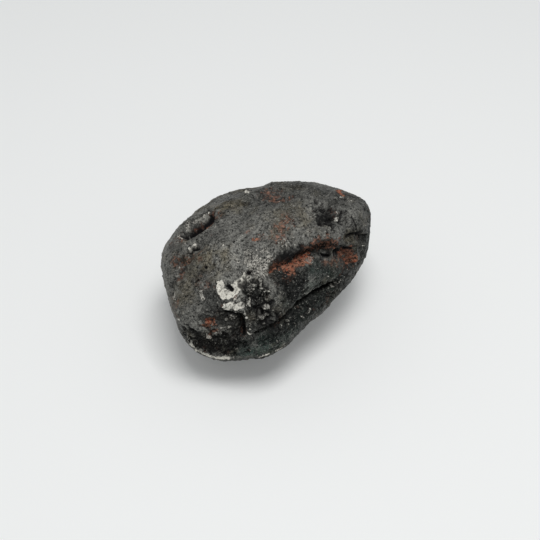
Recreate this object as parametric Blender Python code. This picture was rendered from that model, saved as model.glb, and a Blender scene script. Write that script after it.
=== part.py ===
"""A weathered lump of iron, about 61 mm long: a rounded cobble worn flat on several sides,
with a deep rusty cleft under a brow, gashes, a crumbly hollow, cracks and thumb-print dents.
It is one solid, and it rests on a small worn flat. Metres, +Z up, +X along the long axis."""

import itertools
from typing import NamedTuple

import bmesh
import bpy
import numpy as np

MM = 0.001

# Body: an ellipsoid with its nose a little up and swung a little round, centred over the flat
BODY_CENTRE = np.array((-2.1, -2.9, 18.3))
HALF_SIZES = np.array((37.5, 27.0, 18.7))
NOSE_UP = 2.0
NOSE_SWING = 3.0
EDGE_CRISPNESS = 12.0

# Surface grid: cells along each edge of the cube it starts from, and how far (mm) its middle
# leans to the marked front, where that makes the cells smaller
CELLS = 28
GRID_LEAN = np.array((-2.0, -7.0, 4.0))

# Slow swells and dips all over, mm
SWELL_LENGTH = 13.0
SWELL_HEIGHT = 0.75
LUMP_LENGTH = 5.5
LUMP_HEIGHT = 0.38

# How far the edges of the marks stray from their paths, mm
STRAY_LENGTH = 6.0
STRAY = 0.9

# The worn flat: the relief dies away towards it
SOLE_CLEAR = 13.0
NEAR_SHARE = 0.7

IRON_COLOUR = (0.060, 0.057, 0.054, 1.0)
IRON_ROUGHNESS = 0.5
IRON_METALLIC = 0.6


class Flat(NamedTuple):
    """A side worn flat: the way it faces in degrees, and its distance from the centre in mm."""

    azimuth: float
    elevation: float
    distance: float


class Mark(NamedTuple):
    """A dent along a path of (azimuth, elevation) points, or a swell where the depth is negative.

    It fades out over `left` mm on the left of the path and `right` mm on its right."""

    path: tuple
    left: float
    right: float
    depth: float


FLATS = {
    "nose": Flat(-22, 14, 37.5),
    "nose_top": Flat(15, 45, 26.0),
    "rear_right_top": Flat(52, 42, 22.4),
    "rear_top": Flat(105, 32, 24.8),
    "rear": Flat(85, -10, 24.0),
    "rear_low": Flat(80, -42, 21.5),
    "left_end": Flat(150, -8, 25.8),
    "left_top": Flat(185, 50, 24.0),
    "left_foot": Flat(175, -35, 28.5),
    "front_left": Flat(215, 8, 25.0),
    "front_low": Flat(232, -45, 21.8),
    "front": Flat(272, 14, 17.2),
    "front_right": Flat(-48, -8, 25.3),
    "under_front": Flat(-80, -40, 16.3),
    "under_right": Flat(0, -50, 22.5),
}

MARKS = {
    # Upper left: a shallow trough behind the left rim, and two gashes with raised upper edges
    "trough": Mark(((160, 31), (145, 47), (124, 62), (71, 73), (28, 63)), 6.0, 6.0, 0.8),
    "rear_saddle": Mark(((95, 38), (62, 40)), 8.0, 8.0, 1.5),
    "gash": Mark(((139, 32), (138, 40), (131, 47), (123, 52)), 1.2, 2.6, 1.6),
    "gash_rim": Mark(((130, 30), (127, 42)), 3.0, 3.0, -0.7),
    "small_gash": Mark(((157, 26), (158, 30), (157, 37), (158, 42)), 1.2, 2.4, 1.1),
    "small_gash_rim": Mark(((151, 32), (149, 41)), 2.6, 2.6, -0.5),
    "left_scar": Mark(((163, 28), (167, 23)), 1.5, 1.5, 0.8),
    # Crown and brow: the swelling that overhangs the cleft
    "crown": Mark(((-154, 66), (-89, 74), (-60, 62)), 9.0, 9.0, -0.6),
    "brow": Mark(((-124, 57), (-113, 59), (-89, 58), (-66, 53), (-50, 41)), 4.0, 3.0, -0.9),
    "brow_lobe": Mark(((-62, 44), (-57, 35)), 2.2, 2.2, -0.9),
    # The rusty cleft in two chambers, and the lip that bulges below it
    "cleft": Mark(((-128, 47), (-109, 48), (-92, 48), (-76, 46), (-64, 41)), 1.3, 3.6, 2.6),
    "cleft_end": Mark(((-56, 31), (-51, 20), (-49, 12)), 1.8, 2.6, 2.0),
    "cleft_lip": Mark(((-92, 36), (-76, 25), (-62, 15)), 3.2, 3.2, -0.8),
    "notch": Mark(((-47, 30), (-42, 26), (-35, 15)), 1.5, 1.5, 1.5),
    # Front face: a groove, knobs beside it, the diagonal crack and the long ledge
    "groove": Mark(((-130, 45), (-124, 39), (-119, 31), (-117, 23)), 1.5, 1.5, 1.0),
    "knob_left": Mark(((-114, 39),), 2.8, 2.8, -0.7),
    "knob_right": Mark(((-103, 31),), 2.6, 2.6, -0.6),
    "crack": Mark(((-111, 15), (-92, 13), (-70, 9)), 1.2, 1.6, 1.4),
    "ledge": Mark(((-145, 4), (-137, 8), (-128, 11), (-111, 12)), 1.2, 3.8, 1.0),
    "slot": Mark(((-149, 16), (-148, 8)), 1.4, 1.4, 1.6),
    "crumbly_hollow": Mark(((-150, 32), (-141, 27), (-136, 18)), 4.2, 4.2, 0.9),
    "foot_hollow": Mark(((-168, 3), (-158, 0)), 4.0, 4.0, 0.7),
    # Right end: the nose, its shoulder, and the chip on the skyline
    "nose_swell": Mark(((-30, 30), (-20, 22)), 7.0, 7.0, -1.1),
    "shoulder_pit": Mark(((-31, 48),), 1.9, 1.9, 0.9),
    "shoulder_dent": Mark(((-40, 44),), 1.9, 1.9, 0.8),
    "chip": Mark(((70, 58),), 2.0, 2.0, -0.7),
    "chip_hole": Mark(((68, 66),), 1.5, 1.5, 0.8),
    # Back and underside: thumb-print dents, a gash and a ledge
    "thumb_print": Mark(((60, 8), (74, 4)), 6.5, 6.5, 1.4),
    "thumb_print_right": Mark(((20, -6),), 6.0, 6.0, 1.2),
    "thumb_print_left": Mark(((118, -10),), 5.5, 5.5, 1.1),
    "rear_gash": Mark(((34, 30), (47, 24), (62, 25)), 1.3, 2.8, 1.3),
    "rear_ledge": Mark(((93, -16), (108, -23), (126, -28)), 1.3, 3.4, 1.0),
    "rear_pit": Mark(((98, 14),), 1.9, 1.9, 0.9),
    "under_dent": Mark(((-50, -42),), 4.5, 4.5, 0.8),
    "under_dent_rear": Mark(((130, -52),), 5.0, 5.0, 0.8),
}


def toward(azimuth, elevation):
    """The unit vector at an azimuth from +X towards +Y and an elevation, in degrees."""
    turn, rise = np.radians(azimuth), np.radians(elevation)
    return np.array((np.cos(turn) * np.cos(rise), np.sin(turn) * np.cos(rise), np.sin(rise)))


def body_axes():
    """The ellipsoid's long, cross and upright axes, as rows."""
    along = toward(NOSE_SWING, NOSE_UP)
    across = toward(NOSE_SWING + 90, 0)
    return np.stack((along, across, np.cross(along, across)))


def worn_surface(directions):
    """Points (mm from the centre) and outward normals of the worn body along unit directions.

    The body is where the p-norm of the ellipsoid's size and of every flat's share is one, so
    flats meet the ellipsoid and each other over rounded edges."""
    shaped = directions @ body_axes().T / HALF_SIZES
    roundness = (shaped**2).sum(axis=1)
    total = roundness ** (EDGE_CRISPNESS / 2)
    slope = roundness[:, None] ** (EDGE_CRISPNESS / 2 - 1) * (shaped / HALF_SIZES @ body_axes())
    for flat in FLATS.values():
        facing = toward(flat.azimuth, flat.elevation)
        share = np.maximum(0, directions @ facing / flat.distance)
        total += share**EDGE_CRISPNESS
        slope += share[:, None] ** (EDGE_CRISPNESS - 1) * facing / flat.distance
    points = directions * total[:, None] ** (-1 / EDGE_CRISPNESS)
    return points, slope / np.linalg.norm(slope, axis=1, keepdims=True)


def lattice_noise(points, seed):
    """Smooth noise of about -1 to 1, from a slope hashed for each corner of the unit cells."""
    cell = np.floor(points).astype(np.int64)
    part = points - cell
    blend = part**3 * (part * (part * 6 - 15) + 10)
    total = np.zeros(len(points))
    for corner in itertools.product((0, 1), repeat=3):
        spot = cell + corner
        code = spot[:, 0] * 374761393 + spot[:, 1] * 668265263 + spot[:, 2] * 974634777
        code = (code + seed * 144269504) & 0xFFFFFFFF
        code = ((code ^ (code >> 13)) * 1274126177) & 0xFFFFFFFF
        code = code ^ (code >> 16)
        slopes = np.stack((code & 1023, (code >> 10) & 1023, (code >> 20) & 1023), axis=1) / 511.5 - 1
        weight = np.where(corner, blend, 1 - blend).prod(axis=1)
        total += weight * ((part - corner) * slopes).sum(axis=1)
    return 1.4 * total


def bell(share):
    """One at nought, falling smoothly to nought where the share reaches one."""
    return 0.5 + 0.5 * np.cos(np.pi * np.clip(share, 0, 1))


def path_gap(points, normals, path):
    """Each point's distance in mm from a path on the body, and whether it lies on its left."""
    stops, _ = worn_surface(np.stack([toward(*stop) for stop in path]))
    starts, ends = (stops[:-1], stops[1:]) if len(stops) > 1 else (stops, stops)
    nearest = np.full(len(points), np.inf)
    on_left = np.zeros(len(points), bool)
    for start, end in zip(starts, ends):
        run = end - start
        share = np.clip((points - start) @ run / max(run @ run, 1e-9), 0, 1)
        offset = points - start - share[:, None] * run
        level = offset - (offset * normals).sum(axis=1, keepdims=True) * normals
        gap = np.maximum(np.linalg.norm(level, axis=1), NEAR_SHARE * np.linalg.norm(offset, axis=1))
        left = (np.cross(normals, run) * offset).sum(axis=1) > 0
        on_left = np.where(gap < nearest, left, on_left)
        nearest = np.minimum(gap, nearest)
    return nearest, on_left


def relief(points, normals):
    """How far the surface stands above the worn body, mm: swells, lumps and every mark."""
    height = SWELL_HEIGHT * lattice_noise(points / SWELL_LENGTH, 1)
    height += LUMP_HEIGHT * lattice_noise(points / LUMP_LENGTH, 2)
    stray = [lattice_noise(points / STRAY_LENGTH, seed) for seed in (3, 4, 5)]
    strayed = points + STRAY * np.stack(stray, axis=1)
    for mark in MARKS.values():
        gap, on_left = path_gap(strayed, normals, mark.path)
        height -= mark.depth * bell(gap / np.where(on_left, mark.left, mark.right))
    sole_gap, _ = path_gap(points, normals, ((0, -90),))
    return height * (1 - bell(sole_gap / SOLE_CLEAR))


def grid_directions(cube_points):
    """Directions through the points of a cube's grid, spread evenly over a long body."""
    even = np.tan(cube_points * np.pi / 4)
    even /= np.linalg.norm(even, axis=1, keepdims=True)
    stretched = even * HALF_SIZES + GRID_LEAN
    return stretched / np.linalg.norm(stretched, axis=1, keepdims=True)


def iron_material():
    """Dark iron oxide crust with a dull metallic gloss."""
    material = bpy.data.materials.new("dark_iron")
    material.use_nodes = True
    shader = material.node_tree.nodes["Principled BSDF"]
    shader.inputs["Base Color"].default_value = IRON_COLOUR
    shader.inputs["Roughness"].default_value = IRON_ROUGHNESS
    shader.inputs["Metallic"].default_value = IRON_METALLIC
    material.diffuse_color = IRON_COLOUR
    return material


def shape_stone(form):
    """Moves the points of a cube grid onto the stone's surface, in metres."""
    cube_points = np.array([vertex.co for vertex in form.verts])
    points, normals = worn_surface(grid_directions(cube_points))
    surface = points + normals * relief(points, normals)[:, None] + BODY_CENTRE
    for vertex, place in zip(form.verts, surface * MM):
        vertex.co = place


def cut_flat(form):
    """Cuts the stone off level at z = 0 and closes the cut with one flat face."""
    everything = form.verts[:] + form.edges[:] + form.faces[:]
    cut = bmesh.ops.bisect_plane(
        form, geom=everything, plane_co=(0, 0, 0), plane_no=(0, 0, -1), clear_outer=True
    )
    rim = [item for item in cut["geom_cut"] if isinstance(item, bmesh.types.BMEdge)]
    bmesh.ops.contextual_create(form, geom=rim)
    bmesh.ops.triangulate(form, faces=form.faces[:])
    bmesh.ops.recalc_face_normals(form, faces=form.faces[:])


def make_stone():
    """The whole stone as one closed mesh object."""
    form = bmesh.new()
    bmesh.ops.create_cube(form, size=2.0)
    bmesh.ops.subdivide_edges(form, edges=form.edges[:], cuts=CELLS - 1, use_grid_fill=True)
    shape_stone(form)
    cut_flat(form)
    mesh = bpy.data.meshes.new("meteorite")
    form.to_mesh(mesh)
    form.free()
    mesh.shade_smooth()
    stone = bpy.data.objects.new("meteorite", mesh)
    mesh.materials.append(iron_material())
    bpy.context.scene.collection.objects.link(stone)
    return stone


for existing in list(bpy.data.objects):
    bpy.data.objects.remove(existing)

make_stone()
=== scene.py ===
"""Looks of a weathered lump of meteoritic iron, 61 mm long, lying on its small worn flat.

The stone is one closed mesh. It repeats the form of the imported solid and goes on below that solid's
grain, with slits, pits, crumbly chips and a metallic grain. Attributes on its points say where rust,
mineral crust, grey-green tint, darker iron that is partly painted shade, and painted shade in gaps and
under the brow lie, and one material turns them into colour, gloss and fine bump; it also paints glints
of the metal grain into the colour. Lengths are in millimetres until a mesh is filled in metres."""

import itertools
import logging
from collections.abc import Callable
from dataclasses import dataclass, field
from enum import Enum, IntEnum

import bpy
import numpy as np
from mathutils import Matrix, Vector


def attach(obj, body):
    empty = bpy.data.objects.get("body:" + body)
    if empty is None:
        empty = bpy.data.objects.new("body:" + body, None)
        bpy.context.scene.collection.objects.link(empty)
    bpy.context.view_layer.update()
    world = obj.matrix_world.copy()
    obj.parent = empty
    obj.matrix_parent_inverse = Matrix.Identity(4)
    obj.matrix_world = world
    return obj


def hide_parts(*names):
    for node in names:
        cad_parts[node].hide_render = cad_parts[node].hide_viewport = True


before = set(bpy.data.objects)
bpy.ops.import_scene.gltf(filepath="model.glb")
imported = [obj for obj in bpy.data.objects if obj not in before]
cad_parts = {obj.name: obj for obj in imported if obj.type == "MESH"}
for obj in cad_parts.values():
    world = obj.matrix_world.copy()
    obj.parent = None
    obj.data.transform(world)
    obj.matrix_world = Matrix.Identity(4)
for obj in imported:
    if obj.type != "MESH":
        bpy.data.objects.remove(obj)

LOG = logging.getLogger("iron_meteorite")
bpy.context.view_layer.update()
MM = 0.001

# How keenly a sharp mark falls to its middle, as a power of the distance from its edge
SHARP_POWER = 1.6

# What brings the slopes of a noise to about -1 to 1, and how strong each layer is to the last
NOISE_GAIN = 1.4
LAYER_SHARE = 0.6

# Keeps the share along a path of one stop from being a division by nought
TINY = 1e-9

Pair = tuple[float, float]
Stops = tuple[Pair, ...]
Ramp = tuple[tuple[float, str], ...]
Array = np.ndarray
Socket = bpy.types.NodeSocket


class Profile(Enum):
    """How a mark falls from its edge, at a share of 1, to its middle, at a share of 0."""

    ROUND = "round"
    SHARP = "sharp"
    STEEP = "steep"

    def at(self, share: Array) -> Array:
        """The part of the full depth reached at each share of the width.

        Args:
            share: distance from the middle, as a share of the mark's width.

        Returns:
            1 in the middle and 0 from the edge on: a cosine bell when round, the distance from
            the edge to the SHARP_POWER when sharp, and twice a bell cut off at 1 when steep.
        """
        inside = np.clip(share, 0, 1)
        if self is Profile.SHARP:
            return (1 - inside) ** SHARP_POWER
        bell = 0.5 + 0.5 * np.cos(np.pi * inside)
        return np.minimum(1, 2 * bell) if self is Profile.STEEP else bell


class Tint(Enum):
    """What a stain lays on the iron; the value names the attribute that carries it."""

    RUST = "rust"
    CREAM = "cream"  # chalky mineral crust
    TEAL = "teal"
    OLIVE = "olive"
    # The next tint calls for more painted glints of the metal grain
    SPARKLE = "sparkle"  # more of the bright flecks
    POLISH = "polish"  # rubbed smooth
    CRUMBLE = "crumble"  # broken into chips
    # The next tint is darker iron: partly the crust's own darker colour, partly painted shade low on
    # the front, on the underside and in the cleft
    DUSK = "dusk"  # darker iron
    # The next tint is painted shade: black in cuts, pores, creases, chip joints, pits and under the
    # brow
    GAP = "gap"  # black, where no light comes out


class Seed(IntEnum):
    """Picks each noise. One with layers or axes also takes the numbers after its own."""

    SWELL = 1
    LUMP = 2
    STRAY = 3
    JAG = 10
    CHIP_BEND = 13
    CHIP = 16
    PORE = 17
    RIPPLE = 18
    GRAIN = 19
    STAIN_EDGE = 20
    RUST_FILM = 30
    OLIVE_CLOUD = 34
    CRUMB = 38
    CREASE = 40
    CREASE_PATCH = 43
    SCALE_BEND = 44
    SCALE = 47
    SCALE_PATCH = 48


@dataclass(frozen=True)
class Flat:
    """A side worn flat: the way it faces in degrees, and its distance from the centre in mm."""

    azimuth: float
    elevation: float
    distance: float


@dataclass(frozen=True)
class Mark:
    """A dent along a path of (azimuth, elevation) stops, or a swell where depth is negative.

    It fades out over `left` mm on the left of the path and `right` mm on its right. `dark` is how
    black its floor is painted, as painted shade in the recess."""

    stops: Stops
    left: float
    right: float
    depth: float
    profile: Profile = Profile.ROUND
    dark: float = 0.0


@dataclass(frozen=True)
class Stain:
    """A tint round a path of (azimuth, elevation) stops, `radius` mm wide on each side.

    `ragged` is how far noise moves its edge, as a share of the radius, and `fade` the share of
    the radius over which the tint dies away."""

    tint: Tint
    stops: Stops
    radius: float
    strength: float = 1.0
    ragged: float = 0.5
    fade: float = 0.4


@dataclass(frozen=True)
class Region:
    """One stretch of the stone: its dents as the solid has them, finer cuts, and stains."""

    dents: tuple[Mark, ...]
    cuts: tuple[Mark, ...]
    stains: tuple[Stain, ...]


# Short names for the tables that follow
SHARP, STEEP = Profile.SHARP, Profile.STEEP
RUST, CREAM, TEAL, OLIVE, SPARKLE, POLISH, CRUMBLE, DUSK, GAP = Tint

FLATS = (
    Flat(-22, 14, 37.5),  # nose
    Flat(15, 45, 26.0),  # nose top
    Flat(52, 42, 22.4),  # rear right top
    Flat(105, 32, 24.8),  # rear top
    Flat(85, -10, 24.0),  # rear
    Flat(80, -42, 21.5),  # rear low
    Flat(150, -8, 25.8),  # left end
    Flat(185, 50, 24.0),  # left top
    Flat(175, -35, 28.5),  # left foot
    Flat(215, 8, 25.0),  # front left
    Flat(232, -45, 21.8),  # front low
    Flat(272, 14, 17.2),  # front
    Flat(-48, -8, 25.3),  # front right
    Flat(-80, -40, 16.3),  # under the front
    Flat(0, -50, 22.5),  # under the right
)

# A shallow trough behind the left rim, and two gashes with raised, crumbly upper edges
UPPER_LEFT = Region(
    dents=(
        Mark(((160, 31), (145, 47), (124, 62), (71, 73), (28, 63)), 6.0, 6.0, 0.8),
        Mark(((95, 38), (62, 40)), 8.0, 8.0, 1.5),
        Mark(((139, 32), (138, 40), (131, 47), (123, 52)), 1.2, 2.6, 1.6),
        Mark(((130, 30), (127, 42)), 3.0, 3.0, -0.7),
        Mark(((157, 26), (158, 30), (157, 37), (158, 42)), 1.2, 2.4, 1.1),
        Mark(((151, 32), (149, 41)), 2.6, 2.6, -0.5),
        Mark(((163, 28), (167, 23)), 1.5, 1.5, 0.8),
    ),
    cuts=(
        Mark(((137.8, 31.4), (138.6, 33.6)), 0.7, 0.7, 0.9, SHARP, 1.0),
        Mark(((138.3, 35.6), (136.8, 39.8), (134.5, 43.7)), 0.8, 0.8, 1.3, SHARP, 1.0),
        Mark(((134.5, 43.7), (128.9, 46.6), (122.1, 49.4)), 0.8, 1.0, 1.3, SHARP, 1.0),
        Mark(((154.8, 33.4), (154.8, 36.8), (155.2, 39.3)), 0.5, 0.6, 0.9, SHARP, 1.0),
        Mark(((155.6, 29), (157.5, 27)), 0.9, 0.9, 0.6, SHARP, 0.8),
        Mark(((162, 27.5), (164.2, 24.3), (166.7, 22.4)), 0.5, 0.5, 0.5, SHARP, 0.6),
        Mark(((125.6, 50.4), (122.8, 51.6)), 0.5, 0.5, 0.4, SHARP, 0.7),
        Mark(((176.9, 35.6),), 0.6, 0.6, 0.7, STEEP, 1.0),
        Mark(((176.4, 32.5),), 0.45, 0.45, 0.5, STEEP, 0.9),
        Mark(((177.8, 28), (177.4, 26.4)), 0.42, 0.42, 0.5, STEEP, 0.9),
        Mark(((164.8, 50.6), (163.5, 49.6)), 0.4, 0.4, 0.25, SHARP, 0.6),
        Mark(((157, 56), (158, 54.6)), 0.4, 0.4, 0.25, SHARP, 0.6),
        Mark(((140.9, 52.1),), 0.45, 0.45, 0.3, SHARP, 0.5),
    ),
    stains=(
        Stain(RUST, ((137.6, 40), (135.9, 44.4), (130.6, 49.2)), 1.2, 0.72, 0.8),
        Stain(RUST, ((136.5, 43.4), (134.6, 45.8)), 0.55, 0.95, 0.7),
        Stain(RUST, ((129, 48.8), (121.6, 52.2)), 1.1, 0.40, 0.8),
        Stain(RUST, ((136.6, 29.6), (139.4, 30.4), (141.6, 33.6)), 1.0, 0.38, 0.8),
        Stain(RUST, ((155.4, 26.6), (158.6, 28), (159.6, 31)), 2.4, 0.44, 0.7),
        Stain(RUST, ((160, 33), (164.4, 38)), 2.2, 0.36, 0.8, 0.9),
        Stain(RUST, ((162.9, 26.4), (164.2, 24.2), (166.4, 22.6)), 0.9, 0.5, 0.9),
        Stain(CREAM, ((135, 37.2), (135.6, 36.4)), 0.4, 0.8, 0.6),
        Stain(CREAM, ((137.2, 29.4), (137.4, 30.6)), 0.7, 0.55, 0.8),
        Stain(CREAM, ((131.6, 38), (129.4, 41.4), (127.2, 45)), 1.7, 0.7, 1.0, 0.9),
        Stain(CREAM, ((153.2, 34.6), (153.6, 35.4)), 0.42, 0.8, 0.7),
        Stain(CREAM, ((153, 38.2), (153.4, 38.8)), 0.42, 0.85, 0.7),
        Stain(CREAM, ((169, 15.8), (172.8, 13.6)), 0.75, 0.62, 1.0),
        Stain(OLIVE, ((100.7, 38), (107.3, 55.7), (97.5, 63.1)), 3.5, 0.7, 0.5, 1.0),
        Stain(OLIVE, ((160, 31), (172, 41), (176, 36)), 3.5, 0.6, 0.5, 1.0),
        Stain(OLIVE, ((116.2, 66), (110, 68)), 2.0, 0.5, 0.6, 1.0),
        Stain(CRUMBLE, ((132, 37), (128.4, 41.6), (126, 46)), 2.4, 0.8, 0.8),
        Stain(CRUMBLE, ((156.6, 27), (158.6, 32)), 2.2, 0.55, 0.8),
        Stain(CRUMBLE, ((166, 20), (166.5, 16.5)), 2.0, 0.5, 0.9),
        Stain(POLISH, ((145.5, 59), (-178, 52), (-169.2, 57.3)), 5.0, 1.0, 0.4, 1.0),
        Stain(POLISH, ((-179.8, 21), (-176, 28)), 3.5, 0.8, 0.4, 1.0),
    ),
)

# The crown: a long swelling with matte red-brown blotches and a light, grainy bloom
CROWN = Region(
    dents=(
        Mark(((-154, 66), (-89, 74), (-60, 62)), 9.0, 9.0, -0.6),
        Mark(((-124, 57), (-113, 59), (-89, 58), (-66, 53), (-50, 41)), 4.0, 3.0, -0.9),
        Mark(((-62, 44), (-57, 35)), 2.2, 2.2, -0.9),
        Mark(((70, 58),), 2.0, 2.0, -0.7),
        Mark(((68, 66),), 1.5, 1.5, 0.8),
    ),
    cuts=(
        Mark(((-178.3, 55.6), (-177, 64.4)), 0.9, 0.6, -0.22),
        Mark(((-71.2, 68.2),), 0.5, 0.5, 0.4, STEEP, 0.9),
        Mark(((-78.8, 57.5),), 0.6, 0.5, 0.4, STEEP, 0.9),
        Mark(((7.2, 70.7), (4.6, 65), (3.6, 61.6)), 0.7, 0.7, 0.5, SHARP, 0.6),
        Mark(((-98, 71.6), (-94, 70.4)), 0.5, 0.5, 0.4, SHARP, 0.9),
        Mark(((70.8, 64.5), (66, 66.5)), 0.7, 0.7, 0.5, SHARP, 0.8),
    ),
    stains=(
        Stain(RUST, ((46.4, 61.4), (34.1, 69), (34.3, 59)), 3.0, 0.4, 0.5, 0.8),
        Stain(RUST, ((7.2, 70.2), (3.6, 61.9)), 1.0, 0.5, 0.8),
        Stain(RUST, ((-117, 66.6), (-95, 72.2), (-61.3, 74.6)), 2.6, 0.42, 0.7, 0.7),
        Stain(RUST, ((-153.1, 64),), 0.8, 0.75, 0.8),
        Stain(RUST, ((-146, 66),), 1.2, 0.35, 0.8),
        Stain(CREAM, ((72.6, 58), (72.6, 59.4)), 0.9, 0.6, 0.9),
        Stain(CREAM, ((-111.6, 58.4), (-109.4, 59.4)), 0.9, 0.34, 1.2, 0.9),
        Stain(OLIVE, ((-70, 80), (-20, 68), (-55, 64)), 4.5, 0.45, 0.5, 1.0),
        Stain(SPARKLE, ((-70, 76), (-25, 64), (-60, 60)), 6.0, 0.9, 0.5, 1.0),
        Stain(SPARKLE, ((-117, 60), (-104, 58)), 3.0, 0.8, 0.6, 1.0),
        Stain(SPARKLE, ((-10, 46.6), (6.4, 53.4)), 5.0, 0.6, 0.6, 1.0),
    ),
)

# The rusty cleft in two chambers under the brow, and the lip that bulges below it
CLEFT = Region(
    dents=(
        Mark(((-128, 47), (-109, 48), (-92, 48), (-76, 46), (-64, 41)), 1.3, 3.6, 2.6),
        Mark(((-56, 31), (-51, 20), (-49, 12)), 1.8, 2.6, 2.0),
        Mark(((-92, 36), (-76, 25), (-62, 15)), 3.2, 3.2, -0.8),
        Mark(((-47, 30), (-42, 26), (-35, 15)), 1.5, 1.5, 1.5),
    ),
    cuts=(
        Mark(((-121, 50.6), (-109.3, 51.9), (-98.5, 51.4)), 0.6, 0.9, 0.8, SHARP, 0.95),
        Mark(((-98.5, 51.4), (-89, 50.6)), 0.5, 0.6, 0.6, SHARP, 0.9),
        Mark(((-71.2, 36), (-65, 31.4)), 0.7, 0.6, 1.0, STEEP, 1.0),
        Mark(((-50, 25.6), (-46.6, 21)), 0.9, 0.9, 0.9, SHARP, 1.0),
        Mark(((-57, 33), (-52, 28.6)), 1.3, 1.3, -0.6),
        Mark(((-57.8, 30), (-53.6, 25.8)), 0.6, 0.6, 0.7, SHARP, 1.0),
        Mark(((-44.6, 18), (-45.7, 11.1), (-48.8, 5.2)), 1.1, 1.1, -0.5),
        Mark(((-100, 46.6), (-88, 47)), 0.5, 0.5, 0.5, SHARP, 0.7),
        Mark(((-42.6, 28), (-39.7, 25.8), (-36.8, 19.4)), 0.5, 0.5, 0.8, SHARP, 1.0),
        Mark(((-36.8, 19.4), (-31.6, 13.2)), 0.5, 0.5, 0.9, SHARP, 1.0),
    ),
    stains=(
        Stain(RUST, ((-129.5, 47), (-121.4, 48.2), (-112, 46.6)), 1.6, 0.66, 0.6),
        Stain(RUST, ((-116, 43.6), (-104.2, 44.2), (-94, 44.4), (-85, 44.8)), 1.3, 0.92, 0.8),
        Stain(RUST, ((-92, 49), (-75.1, 47.6), (-64, 41.6), (-58.6, 36.6)), 1.8, 0.5, 0.9),
        Stain(RUST, ((-54, 22), (-48.9, 21), (-48, 14), (-50, 12)), 1.6, 0.7, 0.9),
        # Painted shade deep in the lower chamber
        Stain(GAP, ((-55, 26), (-49.5, 22), (-46.6, 16)), 1.2, 0.5, 1.0, 0.9),
        Stain(RUST, ((-71.8, 31.6), (-63, 24.8), (-58, 15)), 2.2, 0.34, 0.7, 0.8),
        Stain(CREAM, ((-88, 41.6), (-86, 42.2)), 0.7, 0.36, 0.9),
        Stain(TEAL, ((-92, 36.7), (-77.2, 25.8), (-69, 16.9), (-61, 13)), 3.4, 0.85, 0.4, 1.0),
        Stain(TEAL, ((-44.7, 17.8), (-45.7, 11.1)), 1.4, 0.5, 0.4, 1.0),
        Stain(CRUMBLE, ((-112, 46.6), (-92, 47.6), (-75, 46)), 2.0, 0.35, 0.7),
        Stain(CRUMBLE, ((-39, 12), (-42, 6.9)), 1.8, 0.6, 0.8),
        Stain(SPARKLE, ((-39, 12), (-42, 6.9)), 1.8, 1.0, 0.8),
        # Painted shadow under the brow, and painted shade deep in the lower chamber
        Stain(GAP, ((-124, 50.8), (-109, 52.2), (-94, 51.6)), 1.5, 0.95, 0.7, 0.7),
        Stain(GAP, ((-74, 37), (-62, 31), (-55, 27)), 1.3, 0.8, 0.8, 0.8),
        # Darker iron that is partly painted shade in the cleft and under the brow
        Stain(DUSK, ((-92, 37), (-76, 25), (-62, 15)), 4.0, 0.6, 0.3, 0.8),
        Stain(DUSK, ((-124, 48), (-92, 48), (-64, 40), (-52, 24)), 2.6, 0.9, 0.4, 0.6),
    ),
)

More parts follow.
